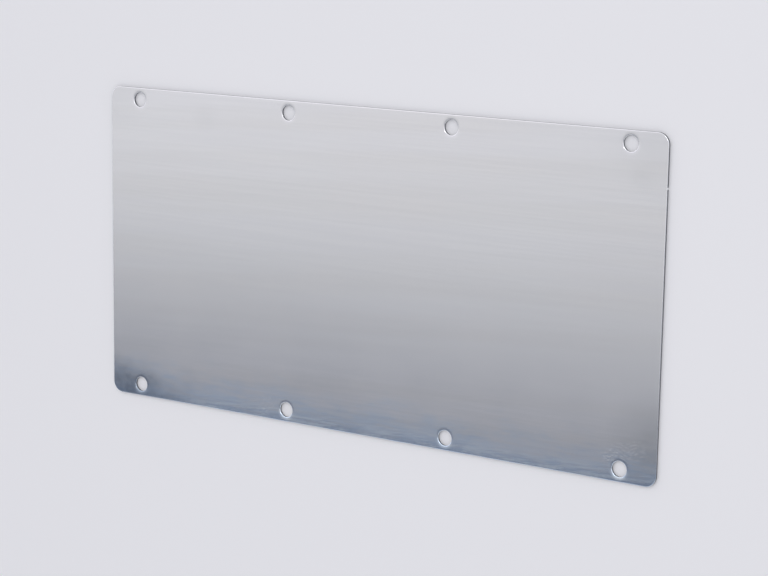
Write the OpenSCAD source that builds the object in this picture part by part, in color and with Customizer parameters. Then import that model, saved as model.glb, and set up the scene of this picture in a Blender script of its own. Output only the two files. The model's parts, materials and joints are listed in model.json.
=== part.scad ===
// Module plate: a flat cover plate of zinc-plated sheet steel with rounded corners and a row of
// fixing holes along each long edge. It is punched from one sheet, so it is one solid piece.
// X runs along the plate, Y up the face as it is mounted, and Z out of the face. The plate lies on
// its back with the origin under its middle. All sizes are in millimetres.

/* [Plate] */
// Length of the plate, along X
plate_length = 340; // [220:1:600]
// Height of the plate, along Y
plate_height = 173; // [80:1:400]
// Thickness of the sheet
sheet_t = 1.5; // [1.25:0.25:4]
// Radius of the four corners of the outline
corner_r = 6; // [2:0.5:10]

/* [Holes] */
// Diameter of the fixing holes
hole_d = 8; // [5:0.5:10]
// Number of holes along each long edge
holes_per_row = 4; // [2:1:8]
// Distance from each short edge to the centre of the nearest hole
end_margin = 20; // [12:0.5:40]
// Distance from each long edge to the centres of the holes beside it
side_margin = 6.5; // [6.5:0.5:25]

/* [Punched edges] */
// Radius that the punch rolls over on the face, all round the outline
outline_roll = 0.4; // [0.1:0.05:0.5]
// Radius that the punch rolls over on the face, round each hole
hole_roll = 0.4; // [0.1:0.05:0.5]
// Height of the smooth sheared band below the rolled edge
sheared_band = 0.5; // [0.2:0.05:0.5]
// How far the torn band below that draws back, at its lower end
tear_back = 0.08; // [0.02:0.02:0.14]
// Width of the narrow chamfer on the back, where the burr is taken off
burr_break = 0.1; // [0.05:0.05:0.2]

/* [Tab mark] */
// Distance from the top edge to the mark of the tab that held the blank in its sheet
tab_from_top = 26.5; // [15:0.5:60]
// Width of the tab mark along the short edge
tab_w = 1; // [0.6:0.1:2]
// Depth of the tab mark into the short edge
tab_depth = 0.15; // [0.05:0.05:0.3]

/* [Hidden] */
$fn = 96;
// How far a cutter runs past the surface that it opens
overrun = 1;
hole_r = hole_d / 2;
// Half of the straight run between two corner arcs, along X and along Y
straight_x = plate_length / 2 - corner_r;
straight_y = plate_height / 2 - corner_r;
// Centre of the hole nearest each corner, and the step from hole to hole along a row
first_hole_x = plate_length / 2 - end_margin;
row_y = plate_height / 2 - side_margin;
hole_pitch = 2 * first_hole_x / (holes_per_row - 1);

// Section of a punched edge below its rolled part, from the back face upwards. Each point is
// [how far it lies back from the edge's nominal line, its height above the back face].
function punched_edge(roll) = [
    [tear_back + burr_break, 0],
    [tear_back, burr_break],
    [0, sheet_t - roll - sheared_band],
    [0, sheet_t - roll]
];

// Section of the sheet from x = 0 out to its outer edge at x = reach. The face is rolled over
// to the edge along a true quarter circle.
module outline_section(reach) {
    polygon(concat(
        [[0, 0]],
        [for (p = punched_edge(outline_roll)) [reach - p[0], p[1]]],
        [[reach - outline_roll, sheet_t], [0, sheet_t]]
    ));
    translate([reach - outline_roll, sheet_t - outline_roll])
        circle(r = outline_roll);
}

// Stretch of sheet with its outer edge at x = reach, running 2 * half_run along Y
module edge_run(reach, half_run) {
    translate([0, half_run, 0])
        rotate([90, 0, 0])
            linear_extrude(height = 2 * half_run)
                outline_section(reach);
}

// Quarter disc that carries the same edge round one corner
module corner_run() {
    rotate_extrude(angle = 90)
        outline_section(corner_r);
}

// Blank sheet: the field between the long edges, a strip along each short edge, and the corners
module blank() {
    for (side = [0, 1]) {
        mirror([0, side, 0])
            rotate([0, 0, 90])
                edge_run(plate_height / 2, straight_x);
        mirror([side, 0, 0])
            translate([straight_x, 0, 0])
                edge_run(corner_r, straight_y);
        for (end = [0, 1])
            mirror([side, 0, 0])
                mirror([0, end, 0])
                    translate([straight_x, straight_y, 0])
                        corner_run();
    }
}

// Half section of what the punch takes out of a hole. Below the face it is the same punched edge
// seen from the other side, and its mouth flares out along the rolled edge.
module hole_section() {
    back_r = hole_r + tear_back + burr_break;
    polygon(concat(
        [[0, -overrun], [back_r, -overrun]],
        [for (p = punched_edge(hole_roll)) [hole_r + p[0], p[1]]],
        [[0, sheet_t - hole_roll]]
    ));
    difference() {
        translate([0, sheet_t - hole_roll])
            square([hole_r + hole_roll, hole_roll + overrun]);
        translate([hole_r + hole_roll, sheet_t - hole_roll])
            circle(r = hole_roll);
    }
}

module fixing_hole() {
    rotate_extrude()
        hole_section();
}

// Shallow nick across the short edge on the right, where the tab to the sheet was broken off
module tab_nick() {
    translate([
        plate_length / 2 - tab_depth,
        plate_height / 2 - tab_from_top - tab_w / 2,
        -overrun
    ])
        cube([tab_depth + overrun, tab_w, sheet_t + 2 * overrun]);
}

module module_plate() {
    color([0.76, 0.77, 0.8])
        difference() {
            blank();
            for (side = [-1, 1], i = [0 : holes_per_row - 1])
                translate([i * hole_pitch - first_hole_x, side * row_y, 0])
                    fixing_hole();
            tab_nick();
        }
}

module_plate();
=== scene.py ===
import json
import math
import random

import bpy
from mathutils import Matrix, Vector
from mathutils.geometry import delaunay_2d_cdt


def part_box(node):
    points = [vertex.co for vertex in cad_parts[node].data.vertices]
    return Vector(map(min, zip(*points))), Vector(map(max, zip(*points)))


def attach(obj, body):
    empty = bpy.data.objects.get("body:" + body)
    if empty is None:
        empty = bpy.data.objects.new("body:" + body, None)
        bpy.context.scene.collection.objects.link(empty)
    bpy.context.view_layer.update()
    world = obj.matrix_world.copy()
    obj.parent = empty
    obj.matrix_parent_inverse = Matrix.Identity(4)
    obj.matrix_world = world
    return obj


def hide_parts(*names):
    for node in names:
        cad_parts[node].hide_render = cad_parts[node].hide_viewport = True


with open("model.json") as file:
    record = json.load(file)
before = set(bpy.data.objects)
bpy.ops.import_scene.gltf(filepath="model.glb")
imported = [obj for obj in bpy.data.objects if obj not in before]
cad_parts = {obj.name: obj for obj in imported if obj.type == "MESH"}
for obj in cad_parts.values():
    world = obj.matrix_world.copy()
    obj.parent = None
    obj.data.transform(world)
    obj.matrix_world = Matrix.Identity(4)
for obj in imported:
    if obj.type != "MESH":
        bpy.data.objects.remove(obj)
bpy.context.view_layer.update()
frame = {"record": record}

# The plate: one blank of zinc-plated sheet steel, punched to its outline and its eight holes.
# Its edges are as the punch leaves them, rolled over on the face, smooth below that and torn at
# the back. It isn't fixed to anything, and lies on its back.
plate_low, plate_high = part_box("module_plate")
sheet = plate_high.z
half_length = plate_high.x
half_height = plate_high.y
corner_radius = 0.006
outline_roll = 0.0004
hole_roll = 0.0004
sheared_band = 0.0005
tear_back = 0.00008
burr_break = 0.0001

fixings = {mount["name"]: mount["dims"] for mount in frame["record"]["mounts"]}
hole_radius = fixings["outer_holes"]["hole_r_mm"] / 1000
row_y = fixings["outer_holes"]["spacing_y_mm"] / 2000
column_x = [fixings[name]["spacing_x_mm"] / 2000 for name in ("outer_holes", "inner_holes")]
hole_centres = [
    Vector((side * x, row * row_y))
    for row in (-1, 1)
    for side in (-1, 1)
    for x in column_x
]

tab_y = half_height - 0.0265
tab_width = 0.001
tab_depth = 0.00015
tab_wall = 0.00002

roll_steps = 6
# The outline's lowest roll steps take the dark sheared finish, widening the painted dark line.
dark_roll_steps = 2
torn_steps = 3
edge_step = 0.001
corner_steps = 20
hole_steps = 72
torn_grain = 0.000012


def punched_section(roll):
    """The edge from the face down to the back, as (how far in from the edge line, height)."""
    section = []
    for step in range(roll_steps + 1):
        turn = math.pi / 2 * step / roll_steps
        section.append((roll * (1 - math.sin(turn)), sheet - roll * (1 - math.cos(turn))))
    band_foot = sheet - roll - sheared_band
    for step in range(torn_steps + 1):
        share = step / torn_steps
        section.append((tear_back * share, band_foot + (burr_break - band_foot) * share))
    section.append((tear_back + burr_break, 0))
    return section


def straight(start, end):
    """Points along one side of the outline, a step apart, without its last point."""
    count = round((end - start).length / edge_step)
    return [start.lerp(end, i / count) for i in range(count)]


def outline_path():
    """The outline once round, anticlockwise, as (point, direction into the sheet)."""
    path = []
    inner = Vector((half_length - corner_radius, half_height - corner_radius))
    turns = [(1, -1), (1, 1), (-1, 1), (-1, -1)]
    for number, (sx, sy) in enumerate(turns):
        centre = Vector((sx * inner.x, sy * inner.y))
        first = math.radians(90 * number - 90)
        for step in range(corner_steps + 1):
            angle = first + math.pi / 2 * step / corner_steps
            out = Vector((math.cos(angle), math.sin(angle)))
            path.append((centre + corner_radius * out, -out))
        after_x, after_y = turns[(number + 1) % 4]
        after = Vector((after_x * inner.x, after_y * inner.y))
        run = straight(centre + corner_radius * out, after + corner_radius * out)
        path += [(point, -out) for point in run[1:]]
    return path


def with_tab_mark(path):
    """The outline with two points close together at each side of the broken-off tab."""
    low, high = tab_y - tab_width / 2, tab_y + tab_width / 2
    mark = [(low - tab_wall, 0), (low, 1), (tab_y, 1.25), (high, 1), (high + tab_wall, 0)]
    marked = []
    for point, into in path:
        on_side = into.x < -0.99 and abs(point.y - tab_y) < 1.5 * tab_width
        if not on_side:
            marked.append((point, into, 0))
        elif not any(depth for _, _, depth in marked):
            for y, depth in mark:
                marked.append((Vector((point.x, y)), into, depth * tab_depth))
    return marked


def hole_path(centre):
    """A hole once round, clockwise, so that the sheet is on the left, as along the outline."""
    path = []
    for step in range(hole_steps):
        angle = -2 * math.pi * step / hole_steps
        out = Vector((math.cos(angle), math.sin(angle)))
        path.append((centre + hole_radius * out, out, 0))
    return path


vertices = []
faces = []
finishes = []
# Finishes by material slot; the roll's upper steps take a brighter zinc, a painted highlight.
PLATING, PAINTED_HIGHLIGHT_ROLL, SHEARED, TORN, BROKEN = range(5)
tear = random.Random(7)


def punch_edge(path, roll, highlight_steps, drawn=0):
    """Sweeps the punched section along a path, with so many steps of its roll in a brighter
    copy of the zinc, a painted highlight, and its upper rim drawn down, and returns its rims on
    the face and the back."""
    section = punched_section(roll)
    last_torn = len(section) - 2
    first = len(vertices)
    for point, into, nick in path:
        for place, (inset, height) in enumerate(section):
            if roll_steps + 1 < place <= last_torn:
                inset += tear.uniform(-torn_grain, torn_grain)
            height -= drawn * max(0, height - sheet + roll) / roll
            spot = point + into * max(inset, nick)
            vertices.append((spot.x, spot.y, height))
    across = len(section)
    for i in range(len(path)):
        here = first + i * across
        there = first + (i + 1) % len(path) * across
        nick = min(path[i][2], path[(i + 1) % len(path)][2])
        for place in range(across - 1):
            faces.append((here + place, here + place + 1, there + place + 1, there + place))
            if nick > section[place][0]:
                finishes.append(BROKEN)
            # The roll's upper steps take the brighter zinc, a painted highlight.
            elif place < highlight_steps:
                finishes.append(PAINTED_HIGHLIGHT_ROLL)
            elif place <= roll_steps:
                finishes.append(SHEARED)
            else:
                finishes.append(TORN)
    face_rim = [first + i * across for i in range(len(path))]
    back_rim = [first + i * across + across - 1 for i in range(len(path))]
    return face_rim, back_rim


draw_depth = 0.00004
draw_reach = 0.0015
draw_rings = 4

rims = [punch_edge(with_tab_mark(outline_path()), outline_roll, roll_steps - dark_roll_steps)]
for centre in hole_centres:
    rims.append(punch_edge(hole_path(centre), hole_roll, roll_steps, draw_depth))

field_step = 0.004
field_clear = 0.0022
wave_depth = 0.00002
wave_fade = 0.03


def sheet_wave(x, y):
    """How far the levelled sheet lies below true flat, which fades out towards its edges."""
    ripple = math.sin(31 * x + 0.6) * math.cos(9 * y) + 0.6 * math.sin(67 * x - 14 * y + 1.9)
    edge = min(half_length - abs(x), half_height - abs(y))
    return wave_depth * (0.5 + 0.3 * ripple) * min(1, edge / wave_fade)


def drawn_down(point):
    """How far the punch has drawn the face down at a point, close round the nearest hole."""
    apart = min((point - centre).length for centre in hole_centres) - hole_radius - hole_roll
    return draw_depth * max(0, 1 - apart / draw_reach) ** 2


def draw_points():
    """Rings of points round the holes, over the part of the face that is drawn down."""
    points = []
    for centre in hole_centres:
        for ring in range(1, draw_rings + 1):
            radius = hole_radius + hole_roll + draw_reach * ring / draw_rings
            points += [centre + radius * out for _, out, _ in hole_path(centre)]
    return points


def field_points():
    """Points over the open field of the sheet, clear of its outline and its holes."""
    points = []
    rows = int(2 * half_height / field_step)
    columns = int(2 * half_length / field_step)
    for row in range(1, rows):
        for column in range(1, columns):
            stagger = 0.5 * (row % 2)
            point = Vector((
                -half_length + (column + stagger) * field_step,
                -half_height + row * field_step,
            ))
            inside = min(half_length - abs(point.x), half_height - abs(point.y)) > field_clear
            clear = all(
                (point - centre).length > hole_radius + field_clear for centre in hole_centres
            )
            if inside and clear:
                points.append(point)
    return points


def fill_sheet(loops, height, mouth_radius, facing_up):
    """Closes the face or the back between its outline rim and the rims of the hole mouths."""
    corners = [number for loop in loops for number in loop]
    flat = [Vector(vertices[number][:2]) for number in corners]
    edges = []
    for loop in loops:
        start = len(edges)
        edges += [(start + i, start + (i + 1) % len(loop)) for i in range(len(loop))]
    for point in field_points() + (draw_points() if facing_up else []):
        corners.append(len(vertices))
        flat.append(point)
        sunk = sheet_wave(point.x, point.y) + drawn_down(point) if facing_up else 0
        vertices.append((point.x, point.y, height - sunk))
    inside_the_loops = 1
    closest = 1e-9
    points, _, triangles, given, *_ = delaunay_2d_cdt(flat, edges, [], inside_the_loops, closest)
    for triangle in triangles:
        middle = sum((points[i] for i in triangle), Vector((0, 0))) / 3
        if any((middle - centre).length < mouth_radius for centre in hole_centres):
            continue
        numbers = [corners[given[i][0]] for i in triangle]
        faces.append(numbers if facing_up else numbers[::-1])
        finishes.append(PLATING)


fill_sheet([face for face, _ in rims], sheet, hole_radius + hole_roll, True)
fill_sheet([back for _, back in rims], 0, hole_radius + tear_back + burr_break, False)

plate_mesh = bpy.data.meshes.new("zinc_module_plate")
plate_mesh.from_pydata(vertices, [], faces)
plate_mesh.polygons.foreach_set("material_index", finishes)
plate_mesh.polygons.foreach_set("use_smooth", [True] * len(faces))
plate_mesh.update()
plate_mesh.validate()
plate = bpy.data.objects.new("zinc_module_plate", plate_mesh)
bpy.context.scene.collection.objects.link(plate)

sharp_from = math.radians(25)
plate_mesh.set_sharp_from_angle(angle=sharp_from)
even_shading = plate.modifiers.new("Even shading", "WEIGHTED_NORMAL")
even_shading.keep_sharp = True
even_shading.weight = 100


def metal_finish(name):
    """A bare metal to build a finish on: its material, its node tree and its shader."""
    material = bpy.data.materials.new(name)
    material.use_nodes = True
    shader = material.node_tree.nodes["Principled BSDF"]
    shader.inputs["Metallic"].default_value = 1
    return material, material.node_tree, shader


def feed(tree, socket, value):
    """Gives a socket a plain value, or joins it to another node's output."""
    if isinstance(value, bpy.types.NodeSocket):
        tree.links.new(value, socket)
    else:
        socket.default_value = value


def place(tree):
    """Where a point lies on the plate, in the plate's own metres."""
    return tree.nodes.new("ShaderNodeTexCoord").outputs["Object"]


def stretched(tree, waves, turn):
    """The place on the plate, counted in so many waves to the metre along X, Y and Z."""
    mapping = tree.nodes.new("ShaderNodeMapping")
    mapping.vector_type = "TEXTURE"
    mapping.inputs["Scale"].default_value = [1 / count for count in waves]
    mapping.inputs["Rotation"].default_value = (0, 0, turn)
    feed(tree, mapping.inputs["Vector"], place(tree))
    return mapping.outputs["Vector"]


def noise(tree, waves, detail=3, roughness=0.55, turn=0):
    """Soft random waves over the plate."""
    texture = tree.nodes.new("ShaderNodeTexNoise")
    texture.inputs["Scale"].default_value = 1
    texture.inputs["Detail"].default_value = detail
    texture.inputs["Roughness"].default_value = roughness
    feed(tree, texture.inputs["Vector"], stretched(tree, waves, turn))
    return texture.outputs["Fac"]


def dashes(tree, waves, turn):
    """Short separate strokes strewn over the plate, one at a point in each wave."""
    stroke_core, stroke_edge = 0.12, 0.42
    texture = tree.nodes.new("ShaderNodeTexVoronoi")
    texture.voronoi_dimensions = "2D"
    texture.inputs["Scale"].default_value = 1
    feed(tree, texture.inputs["Vector"], stretched(tree, waves, turn))
    return spread(tree, texture.outputs["Distance"], stroke_core, stroke_edge, 1, 0)


def spread(tree, value, low, high, to_low, to_high):
    """Carries a value smoothly from one range to another, and holds it beyond them."""
    ranged = tree.nodes.new("ShaderNodeMapRange")
    ranged.interpolation_type = "SMOOTHSTEP"
    bounds = {"From Min": low, "From Max": high, "To Min": to_low, "To Max": to_high}
    for name, bound in bounds.items():
        ranged.inputs[name].default_value = bound
    feed(tree, ranged.inputs["Value"], value)
    return ranged.outputs["Result"]


def combined(tree, operation, *values):
    """Adds or multiplies values, or takes the largest of them, one after another."""
    total = values[0]
    for value in values[1:]:
        step = tree.nodes.new("ShaderNodeMath")
        step.operation = operation
        feed(tree, step.inputs[0], total)
        feed(tree, step.inputs[1], value)
        total = step.outputs["Value"]
    return total


def blended(tree, amount, under, over, way="MIX"):
    """Lays one colour over another, as much as the amount says."""
    mix = tree.nodes.new("ShaderNodeMixRGB")
    mix.blend_type = way
    feed(tree, mix.inputs["Fac"], amount)
    feed(tree, mix.inputs["Color1"], under)
    feed(tree, mix.inputs["Color2"], over)
    return mix.outputs["Color"]


def raised(tree, shader, height, depth):
    """Stands the surface up by a height pattern, in metres."""
    bump = tree.nodes.new("ShaderNodeBump")
    bump.inputs["Distance"].default_value = depth
    feed(tree, bump.inputs["Height"], height)
    feed(tree, shader.inputs["Normal"], bump.outputs["Normal"])


def near(tree, point, reach, core=0):
    """One at a point of the face and over its core, and nothing beyond its reach."""
    apart = tree.nodes.new("ShaderNodeVectorMath")
    apart.operation = "DISTANCE"
    apart.inputs[1].default_value = (*point, sheet)
    feed(tree, apart.inputs[0], place(tree))
    return spread(tree, apart.outputs["Value"], core, reach, 1, 0)


def along(tree, axis):
    """The distance along one of the plate's axes, from its middle."""
    split = tree.nodes.new("ShaderNodeSeparateXYZ")
    feed(tree, split.inputs["Vector"], place(tree))
    return split.outputs[axis]


rolling_turn = math.radians(4)
# The lower edge's blue film, with its painted darker reflection, reaches this far up.
film_and_reflection_top = -half_height + 0.025
hung_film_and_reflection_top = -half_height + 0.008
drying_top = -half_height + 0.011
drying_start = -half_length + 0.02
drying_full = -half_length + 0.09
# The lower left corner's film and painted darker reflection reach this far.
corner_film_and_reflection_full = -half_height + 0.003
corner_film_and_reflection_top = -half_height + 0.022
corner_film_and_reflection_end = -half_length + 0.075


def passivation_film_and_reflection(tree):
    """How thick the blue film is along the lower edge, where the bath ran down and dried, with a
    painted darker, bluer reflection laid in with it.
    """
    wander = combined(
        tree,
        "ADD",
        along(tree, "Y"),
        spread(tree, noise(tree, (30, 80, 80), 5, 0.6), 0.3, 0.7, -0.005, 0.005),
        spread(tree, noise(tree, (150, 600, 400), 4, 0.65), 0.3, 0.7, -0.0025, 0.0025),
    )
    run = spread(tree, wander, -half_height, film_and_reflection_top, 1, 0)
    streaks = spread(tree, noise(tree, (70, 520, 260), 5, 0.75), 0.35, 0.65, 0.55, 1.2)
    return combined(tree, "MULTIPLY", run, streaks)


def hung_film_and_reflection(tree):
    """The thicker film over the last few millimetres, where the bath hung at the lower edge,
    with a painted darker reflection laid in with it.
    """
    return spread(tree, along(tree, "Y"), -half_height, hung_film_and_reflection_top, 1, 0)


def drying_lines(tree):
    """Fine pale lines close to the lower edge, where the bath dried in steps."""
    low = spread(tree, along(tree, "Y"), -half_height, drying_top, 1, 0)
    right = spread(tree, along(tree, "X"), drying_start, drying_full, 0.3, 1)
    lines = spread(tree, noise(tree, (45, 430, 300), 5, 0.7, rolling_turn), 0.44, 0.6, 0, 1)
    return combined(tree, "MULTIPLY", low, right, lines)


def darker_patches(tree):
    """How much darker the sheet is in a few soft patches: wide ones at the lower right end and
    at the two top corners, and two small ones towards the top.
    """
    marks = [
        ((0.172, -0.068), 0.036, 0.9),
        ((0.168, 0.086), 0.040, 0.3),
        ((-0.168, 0.086), 0.030, 0.3),
        ((0.157, 0.0645), 0.011, 0.15),
        ((-0.105, 0.074), 0.012, 0.12),
    ]
    cloudy = spread(tree, noise(tree, (90, 160, 90), 4, 0.6), 0.3, 0.7, 0.75, 1)
    total = 0
    for spot, reach, amount in marks:
        here = combined(tree, "MULTIPLY", near(tree, spot, reach), amount)
        total = combined(tree, "ADD", total, here)
    return combined(tree, "MULTIPLY", total, cloudy)


def corner_film_and_reflection(tree):
    """The lower left corner made darker and bluer: partly the thicker film where the last of the
    bath hung, partly a painted darker reflection.
    """
    wander = combined(
        tree,
        "ADD",
        along(tree, "Y"),
        spread(tree, noise(tree, (40, 45, 90), 2, 0.4), 0.3, 0.7, -0.004, 0.004),
    )
    low = spread(tree, wander, corner_film_and_reflection_full, corner_film_and_reflection_top, 1, 0)
    left = spread(tree, along(tree, "X"), -half_length, corner_film_and_reflection_end, 1, 0)
    blotches = spread(tree, noise(tree, (170, 240, 200), 4, 0.65), 0.3, 0.7, 0.75, 1.1)
    return combined(tree, "MULTIPLY", low, left, blotches)


def scuffs(tree):
    """Fine rubbed scratches, in two places by the lower holes where a screwdriver slipped."""
    lines = None
    for spot, reach, turn, amount in (
        ((0.1585, -0.0695), 0.0075, math.radians(20), 0.8),
        ((0.1515, -0.0715), 0.0075, math.radians(-12), 1),
        ((0.1445, -0.0735), 0.0070, math.radians(16), 1),
        ((-0.0635, -0.0785), 0.0080, math.radians(24), 0.7),
    ):
        strokes = dashes(tree, (250, 900, 800), turn)
        here = combined(tree, "MULTIPLY", near(tree, spot, reach, 0.4 * reach), strokes, amount)
        lines = here if lines is None else combined(tree, "MAXIMUM", lines, here)
    return lines


darker_patch_tint = (0.78, 0.79, 0.79, 1)
# The film tints below also lay in a painted darker, bluer reflection.
film_and_reflection_tint = (0.84, 0.945, 1.06, 1)
hung_film_and_reflection_tint = (0.88, 0.915, 0.965, 1)
corner_film_and_reflection_tint = (0.50, 0.525, 0.56, 1)
dried_salts = (0.84, 0.92, 0.97, 1)
dried_cover = 0.65
scratch_cover = 0.3
scratch_roughness = 0.06
zinc_relief = 0.000002


def zinc_plating(name, shade, roughness):
    """Bright zinc on rolled steel: grain along the sheet, pale clouds, fine crystals, and the
    blue film of the passivating bath, thickest along the lower edge, where it and the lower left
    corner also carry a painted darker, bluer reflection."""
    material, tree, shader = metal_finish(name)
    grain = noise(tree, (9, 900, 500))
    bands = noise(tree, (2.5, 70, 500), 2, 0.5, rolling_turn)
    clouds = noise(tree, (13, 17, 500), 6, 0.6)
    crystals = noise(tree, (2400, 2400, 2400), 1)
    plain = [shade] * 3
    pale = [shade * 1.045] * 3
    cool = [shade * part for part in (0.965, 0.972, 0.98)]
    bluish = [shade * part for part in (1.03, 1.043, 1.07)]
    colour = blended(tree, spread(tree, clouds, 0.35, 0.65, 0, 1), (*cool, 1), (*plain, 1))
    colour = blended(tree, spread(tree, bands, 0.35, 0.65, 0, 0.45), colour, (*bluish, 1))
    rolling = noise(tree, (9, 300, 500), 3, 0.6, rolling_turn)
    colour = blended(tree, spread(tree, rolling, 0.4, 0.65, 0, 0.1), colour, (*pale, 1))
    colour = blended(tree, darker_patches(tree), colour, darker_patch_tint, "MULTIPLY")
    # The lower edge's film, darker and bluer, partly a painted reflection.
    colour = blended(tree, passivation_film_and_reflection(tree), colour, film_and_reflection_tint, "MULTIPLY")
    colour = blended(tree, hung_film_and_reflection(tree), colour, hung_film_and_reflection_tint, "MULTIPLY")
    dried = combined(tree, "MULTIPLY", drying_lines(tree), dried_cover)
    colour = blended(tree, dried, colour, dried_salts)
    # The lower left corner made darker, partly a painted reflection.
    colour = blended(tree, corner_film_and_reflection(tree), colour, corner_film_and_reflection_tint, "MULTIPLY")
    scratched = scuffs(tree)
    scratches = combined(tree, "MULTIPLY", scratched, scratch_cover)
    colour = blended(tree, scratches, colour, (*pale, 1))
    feed(tree, shader.inputs["Base Color"], colour)
    rough = combined(
        tree,
        "ADD",
        spread(tree, clouds, 0.3, 0.7, roughness - 0.012, roughness + 0.012),
        spread(tree, grain, 0.3, 0.7, -0.012, 0.012),
        spread(tree, crystals, 0.3, 0.7, -0.01, 0.01),
        combined(tree, "MULTIPLY", scratched, scratch_roughness),
    )
    feed(tree, shader.inputs["Roughness"], rough)
    relief = combined(tree, "ADD", grain, spread(tree, crystals, 0.2, 0.8, 0, 0.5))
    raised(tree, shader, relief, zinc_relief)
    return material


# Tones far darker than the steel: a painted dark reflection on the sheared band.
sheared_painted_dark = (0.15, 0.16, 0.18, 1)
sheared_painted_light = (0.27, 0.28, 0.30, 1)
drag_relief = 0.000008


def sheared_steel_painted_dark():
    """The smooth band of a cut edge, burnished by the punch, with fine drag lines down it. Its
    colour is far darker than the steel, a painted dark reflection that keeps the edge walls
    dark.
    """
    material, tree, shader = metal_finish("sheared_band")
    drag = noise(tree, (3000, 3000, 150), 2)
    shades = blended(tree, drag, sheared_painted_dark, sheared_painted_light)
    feed(tree, shader.inputs["Base Color"], shades)
    feed(tree, shader.inputs["Roughness"], spread(tree, drag, 0.3, 0.7, 0.26, 0.38))
    raised(tree, shader, drag, drag_relief)
    return material


# Tones darker still: the real dull torn steel, deepened by a painted dark reflection.
torn_painted_dark = (0.10, 0.11, 0.13, 1)
torn_painted_light = (0.20, 0.21, 0.23, 1)
torn_relief = 0.00003


def torn_steel_painted_dark():
    """The torn band of a cut edge, coarse and dull under its zinc, its colour darker still than
    the steel, a painted dark reflection.
    """
    material, tree, shader = metal_finish("torn_band_painted_dark")
    tears = noise(tree, (2600, 2600, 1300), 4, 0.7)
    shades = blended(tree, tears, torn_painted_dark, torn_painted_light)
    feed(tree, shader.inputs["Base Color"], shades)
    feed(tree, shader.inputs["Roughness"], spread(tree, tears, 0.3, 0.7, 0.45, 0.62))
    raised(tree, shader, tears, torn_relief)
    return material


clean_steel = (0.86, 0.86, 0.87, 1)
broken_relief = 0.00002


def broken_steel():
    """Clean steel where the tab to the next blank was broken off after plating."""
    material, tree, shader = metal_finish("broken_tab")
    shader.inputs["Base Color"].default_value = clean_steel
    grain = noise(tree, (4000, 4000, 4000), 2)
    feed(tree, shader.inputs["Roughness"], spread(tree, grain, 0.3, 0.7, 0.3, 0.45))
    raised(tree, shader, grain, broken_relief)
    return material


for finish in (
    zinc_plating("zinc_plating", shade=0.775, roughness=0.21),
    # The rolled edge is the face's zinc made brighter, a painted highlight along every rim.
    zinc_plating("zinc_on_rolled_edge_painted_highlight", shade=0.95, roughness=0.15),
    sheared_steel_painted_dark(),
    torn_steel_painted_dark(),
    broken_steel(),
):
    plate_mesh.materials.append(finish)

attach(plate, "root")
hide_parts("module_plate")

# The floor: a plain pale matt surface that the plate lies on. It carries the plate's soft shadow
# and isn't part of the object.
floor_reach = 12
floor_colour = (0.92, 0.92, 0.93, 1)
floor_mesh = bpy.data.meshes.new("floor")
floor_corners = [(-1, -1), (1, -1), (1, 1), (-1, 1)]
floor_mesh.from_pydata(
    [(x * floor_reach, y * floor_reach, 0) for x, y in floor_corners], [], [(0, 1, 2, 3)]
)
floor = bpy.data.objects.new("floor", floor_mesh)
bpy.context.scene.collection.objects.link(floor)
floor_paint = bpy.data.materials.new("pale_floor")
floor_paint.use_nodes = True
floor_shader = floor_paint.node_tree.nodes["Principled BSDF"]
floor_shader.inputs["Base Color"].default_value = floor_colour
floor_shader.inputs["Roughness"].default_value = 0.9
floor_shader.inputs["Specular IOR Level"].default_value = 0.1
floor_mesh.materials.append(floor_paint)

# The light: a wide soft box overhead, brightest towards the back, and a weaker one low in front.
# The lower part of the plate mirrors the dark gap between them. A small lamp above the top edge
# gives the shadow and the glints.
world = bpy.data.worlds.new("studio")
bpy.context.scene.world = world
world.use_nodes = True
studio = world.node_tree
direction = studio.nodes.new("ShaderNodeTexCoord")
parts = studio.nodes.new("ShaderNodeSeparateXYZ")
feed(studio, parts.inputs["Vector"], direction.outputs["Generated"])
lean = studio.nodes.new("ShaderNodeMath")
lean.operation = "ARCTAN2"
feed(studio, lean.inputs[0], parts.outputs["Y"])
feed(studio, lean.inputs[1], parts.outputs["Z"])
share = studio.nodes.new("ShaderNodeMapRange")
share.inputs["From Min"].default_value = -math.pi / 2
share.inputs["From Max"].default_value = math.pi / 2
feed(studio, share.inputs["Value"], lean.outputs["Value"])
ceiling = studio.nodes.new("ShaderNodeValToRGB")
ceiling.color_ramp.interpolation = "EASE"
studio_level = 1.25
soft_box = (0.93, 0.918, 0.99)
box_edge = (0.93, 0.925, 0.94)
back_box = (1.07, 1.07, 1.09)
front_box = (0.80, 0.81, 0.84)
gap = (0.128, 0.148, 0.208)
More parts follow.
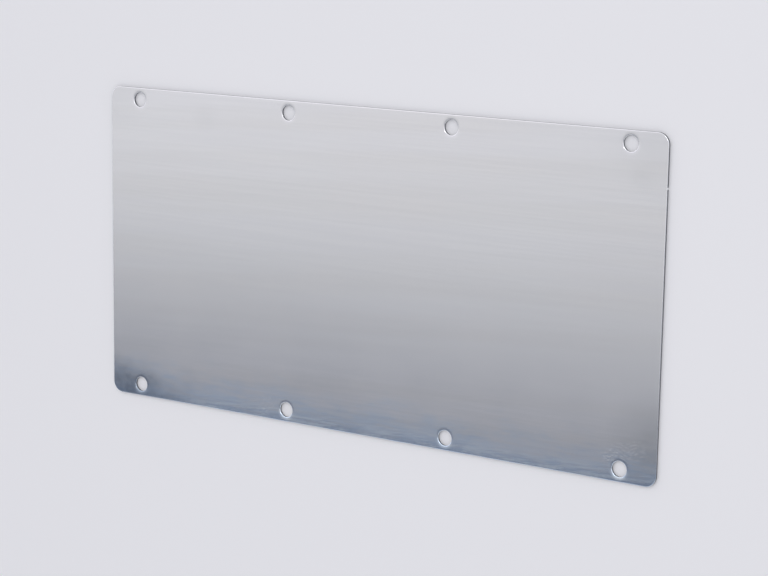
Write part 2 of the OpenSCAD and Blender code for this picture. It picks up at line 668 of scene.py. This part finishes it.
stops = [
    (-90, front_box),
    (-43, front_box),
    (-29, gap),
    (-19, gap),
    (-9.5, box_edge),
    (-3, soft_box),
    (22, soft_box),
    (34, back_box),
    (58, back_box),
    (74, soft_box),
]
ramp = ceiling.color_ramp.elements
while len(ramp) < len(stops):
    ramp.new(0.5)
for element, (degrees, colour) in zip(ramp, stops):
    element.position = (degrees + 90) / 180
    element.color = [part / studio_level for part in colour] + [1]
feed(studio, ceiling.inputs["Fac"], share.outputs["Result"])
# The far left of the studio is brighter than the rest, and the left end of the plate mirrors it.
far_left, left_edge = -0.55, -0.3
main_level = 0.88 * studio_level
dimmer = spread(studio, parts.outputs["X"], far_left, left_edge, studio_level, main_level)
feed(studio, studio.nodes["Background"].inputs["Color"], ceiling.outputs["Color"])
feed(studio, studio.nodes["Background"].inputs["Strength"], dimmer)

lamp_length = 0.62
lamp_width = 0.32
lamp_away = 1.6
lamp_power = 2.4
lamp_data = bpy.data.lights.new("key_lamp", "AREA")
lamp_data.shape = "RECTANGLE"
lamp_data.size = lamp_length
lamp_data.size_y = lamp_width
lamp_data.energy = lamp_power
lamp = bpy.data.objects.new("key_lamp", lamp_data)
lamp_way = Vector((0.29, 0.39, 0.875)).normalized()
length_way = Vector((-0.48, 0.86, -0.15))
length_way = (length_way - length_way.dot(lamp_way) * lamp_way).normalized()
turned = Matrix((length_way, lamp_way.cross(length_way), lamp_way)).transposed().to_4x4()
lamp.matrix_world = Matrix.Translation(lamp_away * lamp_way) @ turned
bpy.context.scene.collection.objects.link(lamp)

# The camera: above the plate and to its right, turned as the photograph shows it, with a long
# lens that keeps the sides of the plate nearly parallel.
camera_data = bpy.data.cameras.new("camera")
camera_data.sensor_width = 36
camera_data.lens = 102.2
camera = bpy.data.objects.new("camera", camera_data)
camera.location = (0.6137, 0.2051, 0.9278)
camera.rotation_euler = [math.radians(angle) for angle in (-10.25, 33.19, 1.05)]
bpy.context.scene.collection.objects.link(camera)
bpy.context.scene.camera = camera

bpy.context.scene.view_settings.view_transform = "Standard"
